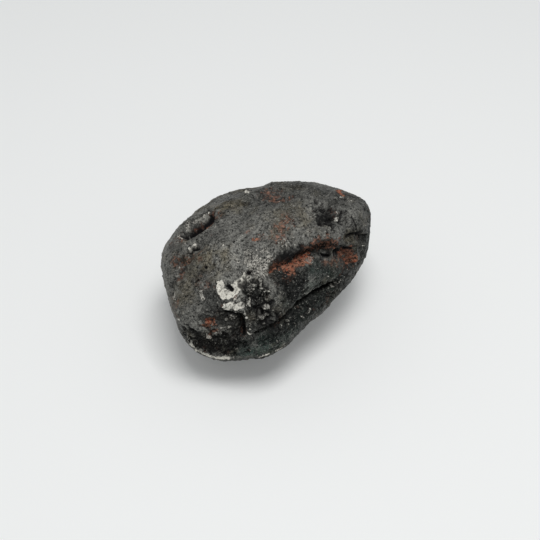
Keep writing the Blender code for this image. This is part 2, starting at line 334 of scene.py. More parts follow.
# The front face: groove, knobs, the crumbly hollow with its mineral crust, crack, ledge and slot
FRONT = Region(
    dents=(
        Mark(((-130, 45), (-124, 39), (-119, 31), (-117, 23)), 1.5, 1.5, 1.0),
        Mark(((-114, 39),), 2.8, 2.8, -0.7),
        Mark(((-103, 31),), 2.6, 2.6, -0.6),
        Mark(((-111, 15), (-92, 13), (-70, 9)), 1.2, 1.6, 1.4),
        Mark(((-145, 4), (-137, 8), (-128, 11), (-111, 12)), 1.2, 3.8, 1.0),
        Mark(((-149, 16), (-148, 8)), 1.4, 1.4, 1.6),
        Mark(((-150, 32), (-141, 27), (-136, 18)), 4.2, 4.2, 0.9),
        Mark(((-168, 3), (-158, 0)), 4.0, 4.0, 0.7),
    ),
    cuts=(
        Mark(((-67.6, 6.8), (-76.7, 9), (-86.8, 11.7)), 0.9, 1.1, 1.7, SHARP, 1.0),
        Mark(((-86.8, 11.7), (-96.7, 12.5), (-107.9, 12.6)), 1.0, 1.2, 1.7, SHARP, 1.0),
        Mark(((-107.9, 12.6), (-117, 11.6), (-125.5, 10.1)), 0.8, 0.9, 1.1, SHARP, 0.95),
        Mark(((-144.8, 11.1), (-136.6, 12), (-130.6, 13.2), (-124.3, 14.8)), 1.0, 0.9, -0.4),
        Mark(((-141.2, 6.7), (-134.3, 9.2), (-125.5, 10.1)), 0.7, 0.8, 1.1, SHARP, 1.0),
        Mark(((-148.6, 14.6), (-147.9, 9.4), (-148, 5.4)), 1.0, 1.0, 1.2, SHARP, 1.0),
        Mark(((-158.8, 18.9), (-151.2, 18)), 0.6, 0.8, 0.9, SHARP, 1.0),
        Mark(((-149.8, 43.1),), 0.8, 0.8, 0.8, STEEP, 1.0),
        Mark(((-161, 32.2), (-158.6, 31.2)), 0.75, 0.75, 0.7, STEEP, 1.0),
        Mark(((-139.1, 20.6), (-138.7, 17.6), (-136.1, 15.9), (-134.3, 17.8)), 0.5, 0.5, -0.5),
        Mark(((-137, 19),), 0.5, 0.5, 0.4, STEEP, 0.9),
        Mark(((-178.6, 2),), 0.9, 0.9, 0.7, SHARP, 0.9),
        Mark(((-166.1, 0), (-161.4, 6)), 0.4, 0.4, 0.35, SHARP, 0.4),
    ),
    stains=(
        Stain(CREAM, ((-167, 32), (-164.8, 28.8), (-160.6, 27)), 1.15, 1.0, 0.45, 0.25),
        Stain(CREAM, ((-160.6, 27), (-157.2, 28.6), (-157, 30.4)), 0.8, 1.0, 0.5, 0.25),
        Stain(CREAM, ((-155.4, 30.8), (-154.7, 35.4), (-152.6, 38.7)), 1.25, 1.0, 1.0, 0.25),
        Stain(CREAM, ((-158.7, 21.7), (-154.8, 22.5), (-150.3, 23.2)), 1.05, 0.82, 0.6, 0.25),
        Stain(CREAM, ((-154.2, 27.4), (-154.8, 23.5)), 0.55, 0.5, 0.7),
        Stain(CREAM, ((-144.4, 37.2), (-143.8, 36.4)), 0.65, 0.6, 0.8),
        Stain(CREAM, ((-138.3, 34.4),), 0.6, 0.55, 0.8),
        Stain(CREAM, ((-139.1, 20.6), (-138.5, 17.5), (-136.1, 15.8), (-134.3, 17.8)), 0.48, 0.7, 0.7),
        Stain(CREAM, ((-146.6, 17.3),), 0.34, 1.0, 0.5),
        Stain(CREAM, ((-144.3, 13.7),), 0.36, 0.9, 0.5),
        Stain(CREAM, ((-144.6, 7.4), (-144, 6.2)), 0.5, 0.85, 0.8),
        Stain(CREAM, ((-175.5, 24), (-172.4, 20.8)), 0.5, 0.4, 1.2),
        Stain(CREAM, ((178, 5.4),), 0.4, 0.8, 0.7),
        Stain(CREAM, ((-164.1, 1.3), (-161.2, 4.7)), 0.5, 0.6, 0.9),
        Stain(CREAM, ((-160.5, 8.4), (-155.2, 10.8)), 0.6, 0.5, 1.0),
        Stain(OLIVE, ((168, 30), (176, 20), (170, 10)), 4.0, 0.5, 0.5, 1.0),
        Stain(CREAM, ((-176.4, -9.6), (-171.5, -11.6), (-167.6, -14.6)), 1.3, 1.0, 0.9, 0.3),
        Stain(CREAM, ((-167.6, -14.6), (-162, -15), (-157.2, -14.2)), 0.9, 1.0, 0.9, 0.3),
        Stain(CREAM, ((-139.1, -14.6), (-133.4, -11.4)), 0.4, 0.7, 0.8),
        Stain(CREAM, ((-129.5, -11), (-123.1, -12.6)), 0.35, 0.5, 0.9),
        Stain(CREAM, ((-69.4, 5.8),), 0.42, 0.75, 0.7),
        Stain(CREAM, ((-106.1, 8.4),), 0.4, 0.6, 0.7),
        Stain(RUST, ((-168, 7.6), (-164.9, 11)), 1.4, 0.8, 0.7),
        Stain(RUST, ((-166.1, 0.2), (-161.6, 6.2)), 0.7, 0.55, 0.8),
        Stain(RUST, ((-154.9, 32.6), (-154.4, 27)), 0.6, 0.3, 1.0),
        Stain(RUST, ((-148, 10), (-147.6, 5.6)), 0.8, 0.3, 0.9),
        Stain(SPARKLE, ((-151, 49.5), (-137, 50), (-143.5, 43), (-151, 40)), 3.2, 1.0, 0.5),
        Stain(SPARKLE, ((-150, 24), (-137, 26), (-134, 18)), 3.6, 0.7, 0.5),
        Stain(SPARKLE, ((-170, -4), (-158, -4)), 4.0, 0.2, 0.5),
        Stain(TEAL, ((-147.1, -7), (-137, -9), (-134.3, 0.4)), 4.5, 1.0, 0.35, 0.8),
        Stain(TEAL, ((-128, -4), (-112, 2), (-96, 4), (-78, 2)), 6.0, 0.8, 0.5, 1.0),
        Stain(TEAL, ((-120, 20), (-104, 22), (-86, 20)), 4.0, 0.45, 0.5, 1.0),
        Stain(POLISH, ((-147.1, -7), (-137, -9), (-134.3, 0.4)), 3.5, 1.0, 0.4, 0.8),
        Stain(CRUMBLE, ((-148, 36), (-140, 31), (-141, 24), (-135, 17)), 3.4, 1.0, 0.6),
        Stain(CRUMBLE, ((-151, 49.5), (-137, 50), (-143.5, 43)), 2.8, 0.34, 0.7),
        Stain(CREAM, ((-151, 48.5), (-137, 50), (-143.5, 43.5), (-150, 40)), 2.8, 0.46, 1.2),
        Stain(CRUMBLE, ((-168, 10), (-158, 13), (-152, 12)), 2.6, 0.7, 0.7),
        Stain(CRUMBLE, ((-172, -5), (-156, -3)), 4.5, 0.8, 0.7),
        Stain(CRUMBLE, ((-119, 33), (-108, 26), (-112, 36)), 3.0, 0.4, 0.7),
        Stain(CRUMBLE, ((-128, 6), (-112, 6), (-92, 7), (-68, 5)), 3.0, 0.6, 0.7),
        Stain(SPARKLE, ((-67, 7.5), (-87, 12), (-108, 13)), 1.8, 1.0, 0.7),
        Stain(SPARKLE, ((-120, 36), (-106, 32), (-112, 27)), 4.0, 0.4, 0.7),
        # Painted shade in the crumbly hollow
        Stain(GAP, ((-146, 29), (-138, 27), (-138, 22)), 3.0, 0.45, 0.9, 0.9),
        # Darker iron, partly painted shade low on the front and on the underside
        Stain(DUSK, ((-119, 36), (-108, 33), (-112, 26)), 6.0, 1.0, 0.3, 0.7),
        Stain(DUSK, ((-143, 28), (-138, 23), (-136, 18)), 4.4, 0.85, 0.3, 0.6),
        Stain(DUSK, ((-176, -8), (-162, -6), (-150, 0)), 6.5, 0.9, 0.3, 0.7),
        Stain(DUSK, ((-166, 24), (-158, 16), (-150, 14)), 5.5, 0.75, 0.3, 0.8),
        Stain(DUSK, ((-22, 20), (-30, 6), (-40, 18)), 9.0, 0.8, 0.3, 0.9),
        Stain(DUSK, ((-10, 36), (10, 50), (60, 66)), 9.0, 0.5, 0.3, 1.0),
        Stain(DUSK, ((-148, 8), (-120, 6), (-96, 2), (-72, 0), (-56, 4)), 8.0, 0.85, 0.3, 0.7),
        Stain(DUSK, ((-150, -26), (-110, -22), (-70, -18), (-40, -16)), 9.0, 0.85, 0.3, 0.6),
    ),
)

# The right end: the rounded nose, a cluster of pits on its shoulder and a crack down its side
NOSE = Region(
    dents=(
        Mark(((-30, 30), (-20, 22)), 7.0, 7.0, -1.1),
        Mark(((-31, 48),), 1.9, 1.9, 0.9),
        Mark(((-40, 44),), 1.9, 1.9, 0.8),
    ),
    cuts=(
        Mark(((-34.4, 34.2), (-37.8, 30), (-39.3, 26)), 0.35, 0.45, 0.6, SHARP, 1.0),
        Mark(((-44.6, 50.2), (-40.6, 47.6)), 0.9, 0.9, 0.8, SHARP, 1.0),
        Mark(((-37.6, 45.4), (-38.8, 46.6)), 0.8, 0.8, 0.8, SHARP, 1.0),
        Mark(((-31.8, 52.6),), 0.6, 0.6, 0.6, STEEP, 0.9),
        Mark(((-27.4, 46.8), (-31, 47.4)), 0.6, 0.6, 0.5, SHARP, 0.8),
        Mark(((-17.9, 33.9),), 0.55, 0.55, 0.6, STEEP, 1.0),
        Mark(((-12, 35.6), (-15.4, 36.4)), 0.4, 0.4, 0.4, SHARP, 0.9),
    ),
    stains=(
        Stain(RUST, ((-7.4, 30.6), (-10.4, 32)), 0.95, 1.0, 0.7),
        Stain(RUST, ((-30.7, 44), (-36.6, 42.4)), 1.0, 0.36, 0.9),
        Stain(CREAM, ((-21.4, 34.2), (-20.4, 32.4), (-17.4, 32.2)), 0.5, 0.42, 1.0),
        Stain(CREAM, ((-14.9, 34.4),), 0.5, 0.5, 1.0),
        Stain(CREAM, ((-31, 42.6), (-37, 41.6)), 0.5, 0.42, 1.1),
        Stain(CRUMBLE, ((-44.1, 50), (-32.3, 51), (-37.6, 45)), 2.9, 1.0, 0.7),
        # Painted shade in the pits on the shoulder, and round them darker iron that is partly painted
        # shade
        Stain(GAP, ((-44.8, 50.2), (-39, 46.6)), 1.5, 0.7, 1.0, 0.8),
        Stain(DUSK, ((-46, 49), (-32, 50), (-40, 42)), 3.4, 0.6, 0.4, 0.8),
        # Painted shade in the crack down the side, and round it darker iron that is partly painted
        # shade
        Stain(GAP, ((-44, 28.6), (-39.7, 25.8), (-37, 20)), 0.8, 0.9, 1.0, 0.7),
        Stain(DUSK, ((-43, 27), (-38, 22), (-35, 14)), 3.0, 0.7, 0.4, 0.8),
        Stain(CRUMBLE, ((-19, 35), (-26, 42)), 1.8, 0.4, 0.8),
        Stain(SPARKLE, ((-44.1, 50), (-32.3, 51), (-37.6, 45)), 2.8, 0.8, 0.7),
        Stain(TEAL, ((-25, 20), (-28, 8), (-36, 0)), 4.0, 0.45, 0.5, 1.0),
    ),
)

# The back and the underside, which the photograph hides: thumb prints, a gash, a ledge, a pit
BACK = Region(
    dents=(
        Mark(((60, 8), (74, 4)), 6.5, 6.5, 1.4),
        Mark(((20, -6),), 6.0, 6.0, 1.2),
        Mark(((118, -10),), 5.5, 5.5, 1.1),
        Mark(((34, 30), (47, 24), (62, 25)), 1.3, 2.8, 1.3),
        Mark(((93, -16), (108, -23), (126, -28)), 1.3, 3.4, 1.0),
        Mark(((98, 14),), 1.9, 1.9, 0.9),
        Mark(((-50, -42),), 4.5, 4.5, 0.8),
        Mark(((130, -52),), 5.0, 5.0, 0.8),
    ),
    cuts=(
        Mark(((36, 28.6), (47, 23.4), (60, 24.2)), 0.7, 0.8, 1.0, SHARP, 1.0),
        Mark(((95, -17.4), (108, -23.6), (124, -28)), 0.6, 0.7, 0.8, SHARP, 0.9),
        Mark(((98, 14),), 0.9, 0.9, 0.6, STEEP, 0.9),
        Mark(((76, 22), (84, 12), (83, 2)), 0.5, 0.5, 0.6, SHARP, 0.9),
        Mark(((8, 14), (12, 4), (9, -6)), 0.5, 0.5, 0.5, SHARP, 0.9),
    ),
    stains=(
        Stain(RUST, ((38, 26), (48, 21.6), (58, 22.6)), 1.4, 0.8, 0.7),
        Stain(RUST, ((98, -21), (112, -26)), 1.5, 0.65, 0.8),
        Stain(RUST, ((66, 4), (72, 9)), 3.0, 0.38, 0.7, 0.9),
        Stain(RUST, ((118, -12),), 2.6, 0.36, 0.8, 0.9),
        Stain(RUST, ((98, 12.6),), 1.0, 0.7, 0.8),
        Stain(CREAM, ((86, -6), (92, -2)), 0.9, 0.8, 0.8, 0.3),
        Stain(CREAM, ((24, 12), (27, 16)), 0.8, 0.7, 0.9, 0.3),
        Stain(CREAM, ((132, -2), (136, 2)), 0.7, 0.6, 1.0, 0.3),
        Stain(SPARKLE, ((60, 8), (74, 4)), 6.0, 0.7, 0.5, 1.0),
        Stain(SPARKLE, ((120, 4), (110, -8)), 5.0, 0.6, 0.5, 1.0),
        Stain(CRUMBLE, ((84, -8), (92, -4)), 3.0, 0.7, 0.8),
        Stain(CRUMBLE, ((28, -12), (36, -16)), 3.4, 0.6, 0.8),
        Stain(CRUMBLE, ((138, -4),), 3.0, 0.6, 0.8),
        Stain(TEAL, ((100, -34), (60, -30), (20, -28), (-20, -30)), 7.0, 0.6, 0.5, 1.0),
        Stain(OLIVE, ((40, 34), (70, 26)), 4.0, 0.5, 0.5, 1.0),
        Stain(POLISH, ((118, 14), (134, 18)), 4.0, 0.8, 0.4, 1.0),
        Stain(POLISH, ((40, 2), (30, -4)), 4.0, 0.7, 0.4, 1.0),
    ),
)

REGIONS = (UPPER_LEFT, CROWN, CLEFT, FRONT, NOSE, BACK)


def toward(azimuth: float, elevation: float) -> Array:
    """The unit vector at an azimuth from +X towards +Y and an elevation, in degrees."""
    turn, rise = np.radians(azimuth), np.radians(elevation)
    return np.array((np.cos(turn) * np.cos(rise), np.sin(turn) * np.cos(rise), np.sin(rise)))


def smooth(share: Array) -> Array:
    """A share cut to 0..1 and eased at both ends: 3 t squared less 2 t cubed."""
    inside = np.clip(share, 0, 1)
    return inside * inside * (3 - 2 * inside)


def hashed(cell: Array, seed: int) -> Array:
    """A scrambled 32-bit whole number for each row of three whole numbers.

    Args:
        cell: rows of whole x, y and z.
        seed: picks another set of numbers.

    Returns:
        One number for each row: three products added, then shifted, crossed and multiplied.
    """
    code = cell[:, 0] * 374761393 + cell[:, 1] * 668265263 + cell[:, 2] * 974634777
    code = (code + seed * 144269504) & 0xFFFFFFFF
    code = ((code ^ (code >> 13)) * 1274126177) & 0xFFFFFFFF
    return code ^ (code >> 16)


def three_parts(code: Array) -> Array:
    """Three numbers from 0 to 1 out of each scrambled number's ten-bit parts."""
    return np.stack((code & 1023, (code >> 10) & 1023, (code >> 20) & 1023), axis=1) / 1023


def lattice_noise(points: Array, seed: int) -> Array:
    """Smooth noise of about -1 to 1.

    Args:
        points: rows of x, y and z, in lengths of the noise's cells.
        seed: picks another noise.

    Returns:
        For each point, the eight corners of its unit cell each give a slope hashed from their
        place, times the step from the corner, blended by the fifth-power ease of the step.
    """
    cell = np.floor(points).astype(np.int64)
    part = points - cell
    blend = part**3 * (part * (part * 6 - 15) + 10)
    total = np.zeros(len(points))
    for corner in itertools.product((0, 1), repeat=3):
        slopes = three_parts(hashed(cell + corner, seed)) * 2 - 1
        weight = np.where(corner, blend, 1 - blend).prod(axis=1)
        total += weight * ((part - corner) * slopes).sum(axis=1)
    return NOISE_GAIN * total


def layered_noise(points: Array, length: float, seed: int, layers: int = 3) -> Array:
    """Smooth noise with finer layers.

    Args:
        points: rows of x, y and z in mm.
        length: length of the slowest layer in mm.
        seed: picks the slowest layer's noise; the others follow.
        layers: how many layers there are.

    Returns:
        The sum of the layers, each half as long as the one before and weaker by LAYER_SHARE.
    """
    total = np.zeros(len(points))
    for layer in range(layers):
        total += LAYER_SHARE**layer * lattice_noise(points * 2**layer / length, seed + layer)
    return total


def wandering(points: Array, length: float, reach: float, seed: int) -> Array:
    """The points moved by up to a reach in mm along three noises of a length in mm."""
    noises = [lattice_noise(points / length, seed + axis) for axis in range(3)]
    return points + reach * np.stack(noises, axis=1)


@dataclass(frozen=True)
class Cells:
    """A break-up into irregular cells, worked out for each point."""

    nearest: Array
    second: Array
    level: Array


def cell_noise(points: Array, length: float, seed: int) -> Cells:
    """Breaks space up into irregular cells about one length across.

    Args:
        points: rows of x, y and z in mm.
        length: spacing of the cells in mm.
        seed: picks another break-up.

    Returns:
        For each point, its distances to the nearest and the second nearest of the seeds that
        sit one in each cube of the lattice, in lengths, and the nearest seed's own level, 0..1.
    """
    spots = points / length
    home = np.floor(spots).astype(np.int64)
    nearest = np.full(len(points), np.inf)
    second = np.full(len(points), np.inf)
    level = np.zeros(len(points))
    for step in itertools.product((-1, 0, 1), repeat=3):
        cell = home + step
        code = hashed(cell, seed)
        gap = np.linalg.norm(cell + three_parts(code) - spots, axis=1)
        closer = gap < nearest
        second = np.where(closer, nearest, np.minimum(second, gap))
        level = np.where(closer, (code >> 5 & 255) / 255, level)
        nearest = np.where(closer, gap, nearest)
    return Cells(nearest, second, level)


@dataclass(frozen=True)
class WornBody:
    """An ellipsoid with its nose a little up and swung a little round, worn flat on many sides."""

    centre: tuple[float, float, float] = (-2.1, -2.9, 18.3)
    half_sizes: tuple[float, float, float] = (37.5, 27.0, 18.7)
    nose_up: float = 2.0
    nose_swing: float = 3.0
    edge_crispness: float = 12.0
    flats: tuple[Flat, ...] = FLATS

    def axes(self) -> Array:
        """The axes of the ellipsoid.

        Returns:
            Its long, cross and upright axes, as rows.
        """
        along = toward(self.nose_swing, self.nose_up)
        across = toward(self.nose_swing + 90, 0)
        return np.stack((along, across, np.cross(along, across)))

    def surface(self, directions: Array) -> tuple[Array, Array]:
        """Where rays from the centre leave the worn body.

        Args:
            directions: rows of unit vectors.

        Returns:
            Points in mm from the centre, and outward normals. The body is where the p-norm of
            the ellipsoid's size and of every flat's share is one, so flats meet the ellipsoid
            and each other over rounded edges; the normal is that norm's slope.
        """
        crisp, sizes, axes = self.edge_crispness, np.array(self.half_sizes), self.axes()
        shaped = directions @ axes.T / sizes
        roundness = (shaped**2).sum(axis=1)
        total = roundness ** (crisp / 2)
        slope = roundness[:, None] ** (crisp / 2 - 1) * (shaped / sizes @ axes)
        for flat in self.flats:
            facing = toward(flat.azimuth, flat.elevation)
            share = np.maximum(0, directions @ facing / flat.distance)
            total += share**crisp
            slope += share[:, None] ** (crisp - 1) * facing / flat.distance
        points = directions * total[:, None] ** (-1 / crisp)
        return points, slope / np.linalg.norm(slope, axis=1, keepdims=True)

    def places(self, stops: Stops) -> Array:
        """The points on the worn body at (azimuth, elevation) stops, as rows in mm."""
        return self.surface(np.stack([toward(*stop) for stop in stops]))[0]


@dataclass
class Skin:
    """The stone's grid points on the worn body, with the normals there.

    A distance is at least `near_share` of the straight one. The floor of a cut is painted as black as
    `black_gain` times its share of the depth less `black_start`, as painted shade."""

    body: WornBody
    points: Array
    normals: Array
    near_share: float = 0.7
    black_gain: float = 2.2
    black_start: float = 0.35

    def gap(self, stops: Stops, reach: float, moved: Array) -> tuple[Array, Array, Array]:
        """How far the points near a path are from it.

        Args:
            stops: the path's (azimuth, elevation) stops.
            reach: distance in mm past which a point is left out.
            moved: the points as moved by a stray, so that the path seems to wander.

        Returns:
            The numbers of the points within reach, their distances from the path in mm, and
            whether they lie on its left. A distance is the offset from the nearest point of a
            straight run between two stops, without its part along the surface normal, and at
            least near_share of the whole offset.
        """
        places = self.body.places(stops)
        starts, ends = (places[:-1], places[1:]) if len(places) > 1 else (places, places)
        middle = places.mean(axis=0)
        span = np.linalg.norm(places - middle, axis=1).max() + reach / self.near_share
        near = np.flatnonzero(np.linalg.norm(moved - middle, axis=1) < span)
        spots, normals = moved[near], self.normals[near]
        nearest = np.full(len(near), np.inf)
        on_left = np.zeros(len(near), bool)
        for start, end in zip(starts, ends):
            run = end - start
            share = np.clip((spots - start) @ run / max(run @ run, TINY), 0, 1)
            offset = spots - start - share[:, None] * run
            level = offset - (offset * normals).sum(axis=1, keepdims=True) * normals
            distance = np.linalg.norm(offset, axis=1)
            gap = np.maximum(np.linalg.norm(level, axis=1), self.near_share * distance)
            left = (np.cross(normals, run) * offset).sum(axis=1) > 0
            on_left = np.where(gap < nearest, left, on_left)
            nearest = np.minimum(gap, nearest)
        return near, nearest, on_left

    def press(self, mark: Mark, moved: Array, height: Array, gaps: Array | None = None) -> None:
        """Adds a mark to the height above the worn body, and its floor's painted shade to the gaps.

        Args:
            mark: the dent, cut or swell.
            moved: the points as its path meets them.
            height: mm above the worn body, changed in place.
            gaps: how black each point is painted as shade, changed in place, or None where it stays as
                it is.
        """
        near, gap, on_left = self.gap(mark.stops, max(mark.left, mark.right), moved)
        part = mark.profile.at(gap / np.where(on_left, mark.left, mark.right))
        height[near] -= mark.depth * part
        if gaps is not None and mark.dark:
            black = smooth(part * self.black_gain - self.black_start)
            gaps[near] = np.maximum(gaps[near], mark.dark * black)

    def lay(self, stain: Stain, breakup: Array, tint: Array) -> None:
        """Lays a stain over a tint, keeping whichever is stronger.

        Args:
            stain: the stain.
            breakup: noise of about -1 to 1 that makes the stain's edge ragged.
            tint: the tint at each point, 0 to 1, changed in place.
        """
        reach = stain.radius * (1 + stain.ragged)
        near, gap, _ = self.gap(stain.stops, reach, self.points)
        share = 1 - gap / stain.radius + stain.ragged * breakup[near]
        tint[near] = np.maximum(tint[near], stain.strength * smooth(share / stain.fade))


def strengthen(tint: Array, amount: Array) -> None:
    """Keeps the stronger of a tint and an amount at each point, changing the tint in place."""
    np.maximum(tint, amount, out=tint)


def cube_grid(cells: int) -> tuple[Array, Array]:
    """The surface of a cube of half size one, as a grid of cells along each edge.

    Args:
        cells: cells along an edge.

    Returns:
        The points, and the four point numbers of each cell, counter-clockwise from outside.
        Each of the six faces is a grid over two parameters, and grid points that faces share
        along an edge become one point.
    """
    steps = np.arange(cells + 1)
    u, v = np.meshgrid(steps, steps, indexing="ij")
    spots, quads = [], []
    for axis, side in itertools.product(range(3), (0, cells)):
        spot = np.empty((*u.shape, 3), np.int64)
        spot[..., axis] = side
        spot[..., (axis + 1) % 3] = u
        spot[..., (axis + 2) % 3] = v
        number = np.arange(u.size).reshape(u.shape) + len(spots) * u.size
        corners = (number[:-1, :-1], number[1:, :-1], number[1:, 1:], number[:-1, 1:])
        quad = np.stack(corners, axis=-1).reshape(-1, 4)
        quads.append(quad if side else quad[:, ::-1])
        spots.append(spot.reshape(-1, 3))
    every = np.concatenate(spots)
    code = every @ np.array((1, cells + 1, (cells + 1) ** 2))
    _, first, back = np.unique(code, return_index=True, return_inverse=True)
    return every[first] * 2 / cells - 1, back[np.concatenate(quads)]


@dataclass(frozen=True)
class Film:
    """A faint tint that may lie anywhere, where noise of a length in mm is above its start.

    It reaches its strength over `fade` of the noise."""

    tint: Tint
    length: float
    seed: Seed
    strength: float
    start: float
    fade: float


@dataclass(frozen=True)
class Plates:
    """Irregular plates that the crust breaks into, each at its own level, with open joints.

    `size` is in mm, `flush` the level that neither rises nor sinks, `joint` the width of the
    joints as a share of the size, and `bend` how far in mm the edges wander along a noise of
    `bend_length` mm."""

    size: float
    height: float
    flush: float
    joint: float
    joint_depth: float
    bend: float
    bend_length: float
    bend_seed: Seed
    seed: Seed

    def over(self, points: Array) -> tuple[Array, Array, Array]:
        """Lays the plates over the points.

        Args:
            points: rows of x, y and z in mm.

        Returns:
            The height in mm, which is the plate's level less flush, times the height, less the
            joint; how deep in a joint each point is, 0 to 1, as a bell over how much further
            the second nearest seed is than the nearest; and the plate's level, 0 to 1.
        """
        bent = wandering(points, self.bend_length, self.bend, self.bend_seed)
        cells = cell_noise(bent, self.size, self.seed)
        joint = Profile.ROUND.at((cells.second - cells.nearest) / self.joint)
        height = self.height * (cells.level - self.flush) - self.joint_depth * joint
        return height, joint, cells.level


@dataclass
class Stone:
    """The whole stone: one closed piece with its form, its fine relief and its stains."""

    name: str = "meteorite_stone"
    body: WornBody = field(default_factory=WornBody)
    regions: tuple[Region, ...] = REGIONS

    # Grid: cells along each cube edge, and how far (mm) its middle leans to the marked front
    cells: int = 127
    grid_lean: tuple[float, float, float] = (-3.0, -9.5, 6.0)

    # Slow swells and dips all over, and how far the dents stray from their paths, as the solid
    swell_length: float = 13.0
    swell_height: float = 0.75
    lump_length: float = 5.5
    lump_height: float = 0.38
    stray_length: float = 6.0
    stray: float = 0.9

    # How far round its lowest point the relief dies away, so that the stone rests on its flat
    sole_clear: float = 13.0

    # Jagged edges of the cuts, and ragged edges of the stains
    jag_length: float = 1.1
    jag: float = 0.26
    ragged_length: float = 1.5
    ragged: float = 1.1

    # Rusty films and olive clouds, and mineral crumbs: one in each cell of a high level
    films: tuple[Film, ...] = (
        Film(RUST, 5.0, Seed.RUST_FILM, strength=0.26, start=0.42, fade=0.4),
        Film(OLIVE, 9.0, Seed.OLIVE_CLOUD, strength=0.6, start=0.05, fade=0.7),
    )
    crumb_spacing: float = 3.2
    crumb_radius: float = 0.115
    crumb_fade: float = 0.05
    crumb_level: float = 0.72
    crumb_strength: float = 0.55

    # Crumbly chips with open gaps between them: the gaps and the low ones are painted black as shade,
    # the highest are pale
    chips: Plates = Plates(
        size=1.25,
        height=0.68,
        flush=0.6,
        joint=0.3,
        joint_depth=0.55,
        bend=0.9,
        bend_length=1.3,
        bend_seed=Seed.CHIP_BEND,
        seed=Seed.CHIP,
    )
    chip_black: float = 0.9
    chip_low_level: float = 0.55
    chip_low_fade: float = 0.2
    chip_pale_level: float = 0.9
    chip_pale: float = 0.62

    # Low scales in patches all over, finer than the chips, and fewer where the crust is polished; the
    # joints round the lower ones are painted dark as shade
    scales: Plates = Plates(
        size=0.85,
        height=0.2,
        flush=0.5,
        joint=0.2,
        joint_depth=0.1,
        bend=0.7,
        bend_length=1.1,
        bend_seed=Seed.SCALE_BEND,
        seed=Seed.SCALE,
    )
    scale_patch: float = 4.0
    scale_patchiness: float = 0.8
    scale_polish: float = 0.7
    scale_black: float = 0.7

    # Pores scattered all over: one in each few cells, painted black as shade
    pore_spacing: float = 1.5
    pore_share: float = 0.11
    pore_radius: float = 0.2
    pore_depth: float = 0.14
    pore_polish: float = 0.8
    pore_black: float = 0.75

    # Hairline creases in patches, painted black as shade, denser where the crust crumbles or the
    # darker iron lies
    crease_length: float = 2.3
    crease_width: float = 0.075
    crease_depth: float = 0.3
    crease_patch: float = 6.0
    crease_start: float = 0.1
    crease_fade: float = 0.5
    crease_crumble: float = 1.6
    crease_dark_and_shade: float = 0.8
    crease_black: float = 0.85

    # Ripples and grain of the crust, and how much rougher each tint makes them
    ripple_length: float = 2.0
    ripple_height: float = 0.26
    grain_length: float = 0.8
    grain_height: float = 0.15
    rougher: tuple[tuple[Tint, float], ...] = ((POLISH, -0.65), (CRUMBLE, 0.8), (RUST, 0.5))

    # Mineral crust: its thickness, and the strength of its tint at which that is reached
    crust_height: float = 0.12
    crust_full: float = 0.4

    def directions(self, cube_points: Array) -> Array:
        """Directions through the cube's grid, spread evenly over the long body.

        Args:
            cube_points: points on the cube's surface.

        Returns:
            Unit vectors: each cube coordinate through a tangent, which evens the cells out over
            a ball, the ball stretched to the body, moved by the lean, and seen from the middle.
        """
        even = np.tan(cube_points * np.pi / 4)
        even /= np.linalg.norm(even, axis=1, keepdims=True)
        stretched = even * self.body.half_sizes + np.array(self.grid_lean)
        return stretched / np.linalg.norm(stretched, axis=1, keepdims=True)

    def form(self, skin: Skin) -> Array:
        """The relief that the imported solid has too.

        Args:
            skin: the points on the worn body.

        Returns:
            The height in mm: two slow noises less the dents, whose paths noise makes stray.
        """
        height = self.swell_height * lattice_noise(skin.points / self.swell_length, Seed.SWELL)
        height += self.lump_height * lattice_noise(skin.points / self.lump_length, Seed.LUMP)
        strayed = wandering(skin.points, self.stray_length, self.stray, Seed.STRAY)
        for region in self.regions:
            for dent in region.dents:
                skin.press(dent, strayed, height)
        return height

    def stains(self, skin: Skin) -> dict[Tint, Array]:
        """Lays the stains of all regions.

        Args:
            skin: the points on the worn body.

        Returns:
            Every tint at each point, 0 to 1.
        """
        breakup = self.ragged * layered_noise(skin.points, self.ragged_length, Seed.STAIN_EDGE)
        tints = {tint: np.zeros(len(skin.points)) for tint in Tint}
        for region in self.regions:
            for stain in region.stains:
                skin.lay(stain, breakup, tints[stain.tint])
        return tints

    def scatter(self, points: Array, tints: dict[Tint, Array]) -> None:
        """Adds what lies anywhere: rusty films, olive clouds and mineral crumbs.

        Args:
            points: the points on the worn body.
            tints: the tints, changed in place. A crumb is a small disc round a seed.
        """
        for film in self.films:
            noise = layered_noise(points, film.length, film.seed)
            strengthen(tints[film.tint], film.strength * smooth((noise - film.start) / film.fade))
        cells = cell_noise(points, self.crumb_spacing, Seed.CRUMB)
        crumb = smooth((self.crumb_radius - cells.nearest) / self.crumb_fade)
        strengthen(tints[CREAM], self.crumb_strength * crumb * (cells.level > self.crumb_level))

    def cut(self, skin: Skin, gaps: Array) -> Array:
        """Cuts the narrow cuts.

        Args:
            skin: the points on the worn body.
            gaps: how black each point is painted as shade, changed in place.

        Returns:
            The height in mm. Noise makes the cuts' paths jagged.
        """
        height = np.zeros(len(skin.points))
        jagged = wandering(skin.points, self.jag_length, self.jag, Seed.JAG)
        for region in self.regions:
            for cut in region.cuts:
                skin.press(cut, jagged, height, gaps)
        return height

    def chip(self, points: Array, tints: dict[Tint, Array]) -> Array:
        """Breaks the crust into chips where it crumbles.

        Args:
            points: the points on the worn body.
            tints: the tints, of which GAP and CREAM are changed in place.

        Returns:
            The height in mm. The gaps between chips and the low chips are painted black as shade, and
            the highest chips carry mineral crust.
        """
        height, joint, level = self.chips.over(points)
        low = smooth((self.chip_low_level - level) / self.chip_low_fade)
        strengthen(tints[GAP], self.chip_black * tints[CRUMBLE] * np.maximum(joint, low))
        pale = (level > self.chip_pale_level) * (1 - joint)
        strengthen(tints[CREAM], self.chip_pale * tints[CRUMBLE] * pale)
        return tints[CRUMBLE] * height

